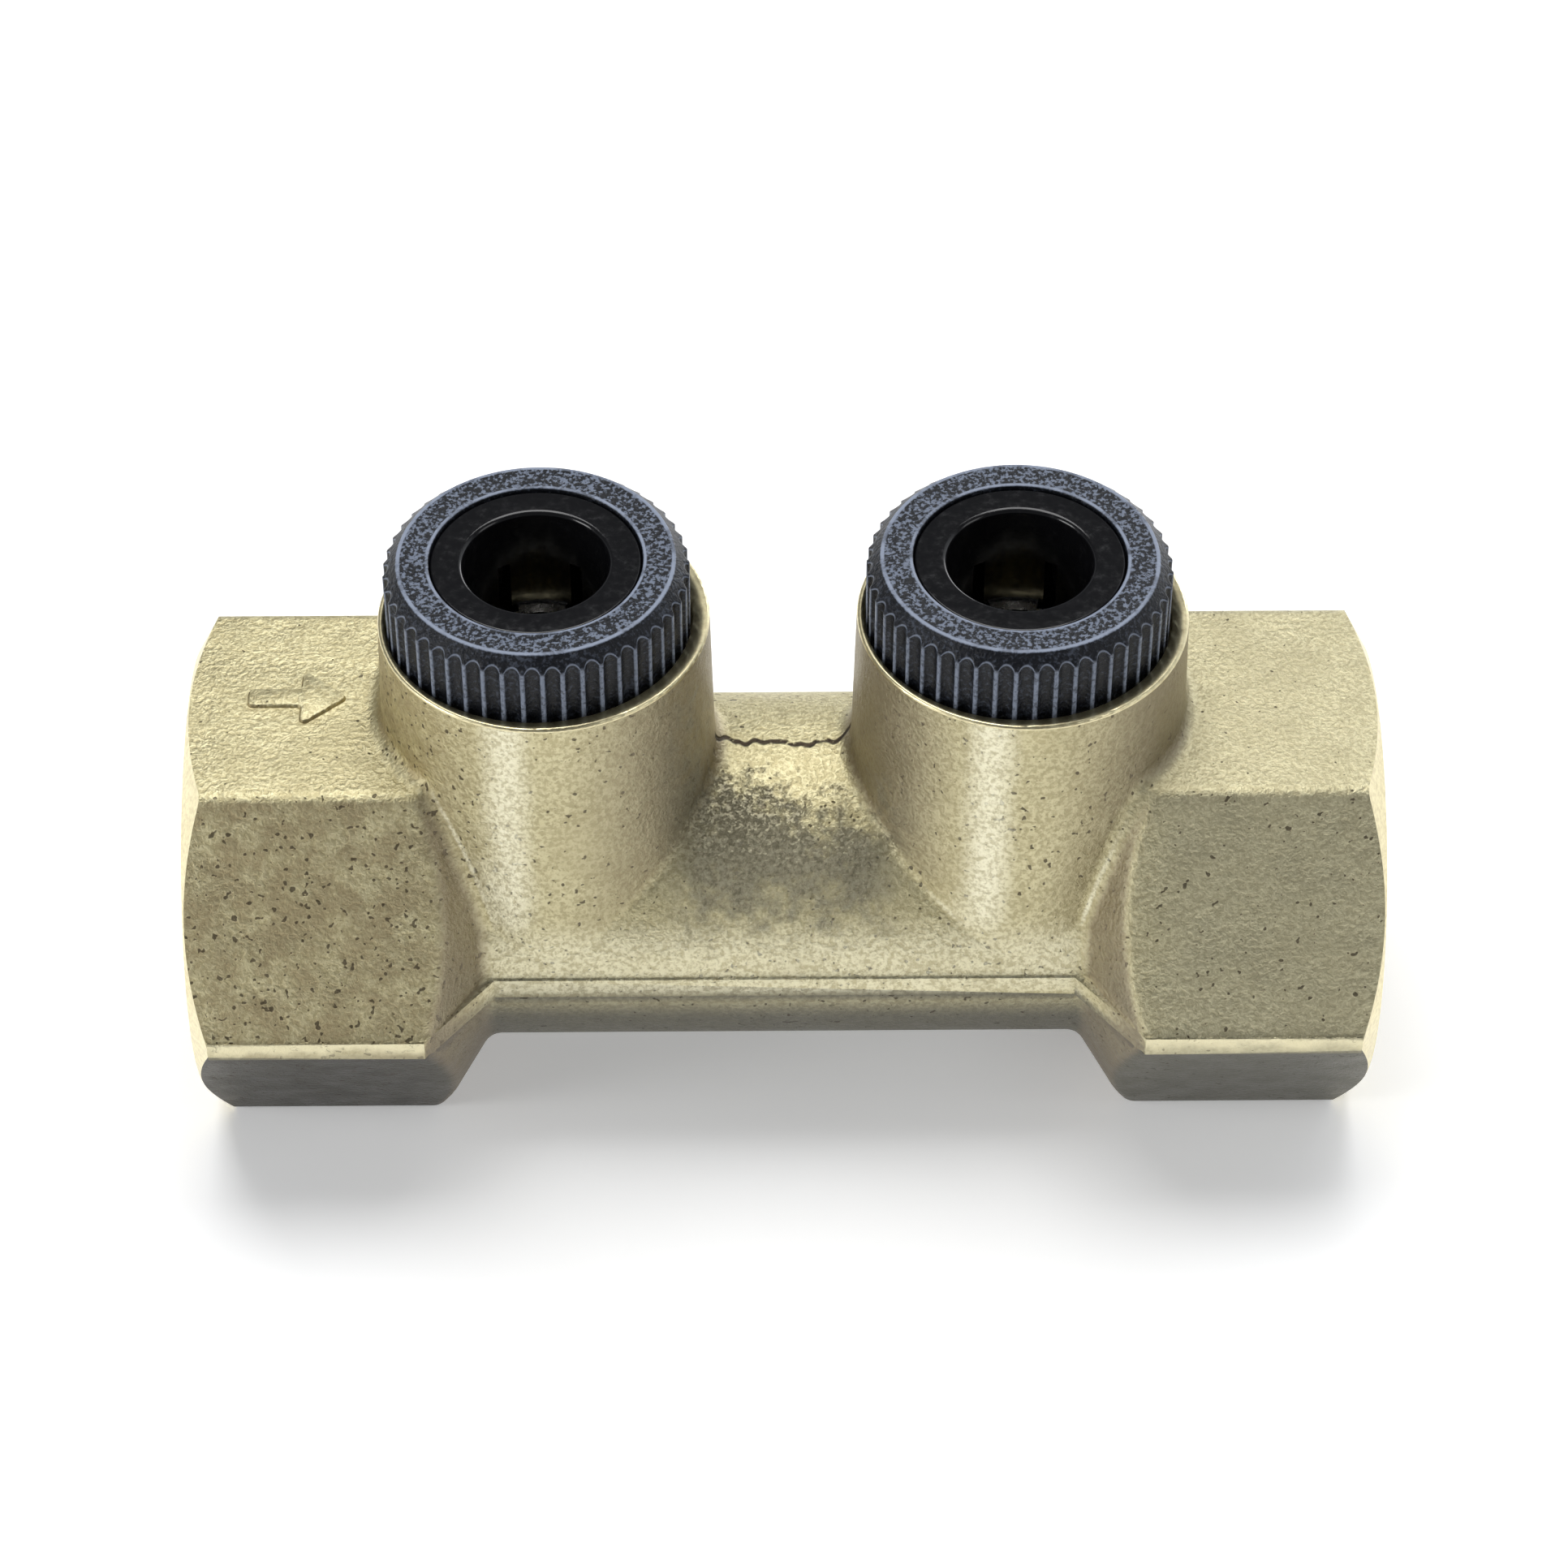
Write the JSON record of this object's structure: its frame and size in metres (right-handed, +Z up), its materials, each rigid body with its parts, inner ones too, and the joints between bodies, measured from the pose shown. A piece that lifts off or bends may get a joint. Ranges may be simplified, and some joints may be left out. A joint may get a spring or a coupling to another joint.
{
  "type": "non-return valve",
  "caption": "Forged brass non-return valve with threaded ports in both hexagon ends and two push-in tube ports on top.",
  "frame": {"origin": "middle of the plane of the two lower hexagon flats that the valve stands on", "axes": "+X along the flow, from the left port to the right port; +Z up, out of the tube ports"},
  "size_m": [0.07, 0.0308, 0.0384],
  "materials": {
    "forged_brass": "forged, satin",
    "turned_brass": "turned",
    "black_nylon": "glass-filled, moulded",
    "black_acetal": "moulded, glossy",
    "natural_acetal": "turned",
    "nitrile_rubber": "moulded",
    "stainless_steel": "bright"
  },
  "bodies": {
    "housing": {"valve_body": "forged_brass", "spring_guide": "turned_brass", "retaining_ring": "stainless_steel", "valve_spring": "stainless_steel", "left_knurled_collar": "black_nylon", "left_collar_seal": "nitrile_rubber", "left_support_ring": "natural_acetal", "left_tube_seal": "nitrile_rubber", "left_tube_support": "turned_brass", "right_knurled_collar": "black_nylon", "right_collar_seal": "nitrile_rubber", "right_support_ring": "natural_acetal", "right_tube_seal": "nitrile_rubber", "right_tube_support": "turned_brass"},
    "poppet": {"valve_poppet": "turned_brass", "poppet_seal": "nitrile_rubber", "seal_washer": "stainless_steel"},
    "left_release": {"left_collet": "black_acetal", "left_grip_teeth": "stainless_steel"},
    "right_release": {"right_collet": "black_acetal", "right_grip_teeth": "stainless_steel"}
  },
  "joints": [
    {"name": "poppet_lift", "type": "slide", "parent": "housing", "child": "poppet", "axis": [1, 0, 0], "range_m": [0, 0.003], "stiffness_N_per_m": 300, "springref_m": -0.002, "deforming": ["valve_spring"]},
    {"name": "left_collet_press", "type": "slide", "parent": "housing", "child": "left_release", "axis": [0, 0, -1], "range_m": [0, 0.0015]},
    {"name": "right_collet_press", "type": "slide", "parent": "housing", "child": "right_release", "axis": [0, 0, -1], "range_m": [0, 0.0015]}
  ]
}
